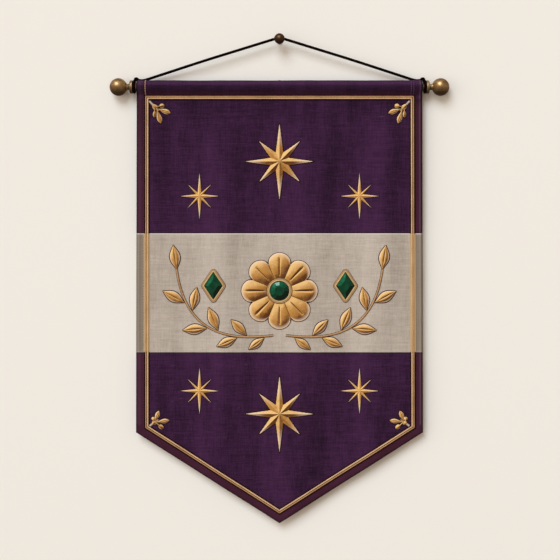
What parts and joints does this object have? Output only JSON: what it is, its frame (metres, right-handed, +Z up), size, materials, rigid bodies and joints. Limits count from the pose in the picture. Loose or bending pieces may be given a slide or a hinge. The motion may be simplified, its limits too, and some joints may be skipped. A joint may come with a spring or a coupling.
{
  "type": "heraldic pennant on a hanging rod with wall peg",
  "caption": "Purple and pale cloth pennant with a pointed foot, gold braid and star appliques, hung by a cord from a rod with ball finials and a wall peg.",
  "frame": {"origin": "middle of the wall peg's foot, on the wall", "axes": "+Z up, -Y out of the wall towards the viewer, +X to the viewer's right"},
  "size_m": [0.5356, 0.0325, 0.77],
  "materials": {
    "purple_cloth": "matt linen weave",
    "pale_cloth": "matt undyed linen weave",
    "gold_cloth": "gold satin applique",
    "gold_braid": "twisted gold thread",
    "pale_gold": "pale gold thread",
    "green_stone": "polished",
    "aged_brass": "aged, worn bright on the rounds",
    "dark_bronze": "dark bronze, polished",
    "rod_wood": "stained dowel",
    "cord": "black braided cord"
  },
  "bodies": {
    "root": {"upper_panel": "purple_cloth", "band_panel": "pale_cloth", "lower_panel": "purple_cloth", "braid_top": "gold_braid", "braid_right": "gold_braid", "braid_point_right": "gold_braid", "braid_point_left": "gold_braid", "braid_left": "gold_braid", "large_star_upper": "gold_cloth", "small_star_upper_left": "gold_cloth", "small_star_upper_right": "gold_cloth", "small_star_lower_left": "gold_cloth", "small_star_lower_right": "gold_cloth", "large_star_lower": "gold_cloth", "sprig_upper_left": "gold_cloth", "sprig_upper_right": "gold_cloth", "sprig_lower_left": "gold_cloth", "sprig_lower_right": "gold_cloth", "rosette": "gold_cloth", "stone_middle": "green_stone", "stone_rim_middle": "pale_gold", "stone_left": "green_stone", "stone_rim_left": "pale_gold", "stone_right": "green_stone", "stone_rim_right": "pale_gold", "spray_stem_left": "gold_cloth", "spray_leaf_left_1": "gold_cloth", "spray_leaf_left_2": "gold_cloth", "spray_leaf_left_3": "gold_cloth", "spray_leaf_left_4": "gold_cloth", "spray_leaf_left_5": "gold_cloth", "spray_leaf_left_6": "gold_cloth", "spray_leaf_left_7": "gold_cloth", "spray_leaf_left_8": "gold_cloth", "spray_stem_right": "gold_cloth", "spray_leaf_right_1": "gold_cloth", "spray_leaf_right_2": "gold_cloth", "spray_leaf_right_3": "gold_cloth", "spray_leaf_right_4": "gold_cloth", "spray_leaf_right_5": "gold_cloth", "spray_leaf_right_6": "gold_cloth", "spray_leaf_right_7": "gold_cloth", "spray_leaf_right_8": "gold_cloth", "hanging_rod": "rod_wood", "hanging_cord": "cord", "wall_peg": "dark_bronze", "finial_left": "aged_brass", "finial_right": "aged_brass", "cord_turns_left": "cord", "cord_turns_right": "cord", "cord_knot_left": "cord", "cord_knot_right": "cord"}
  },
  "joints": []
}
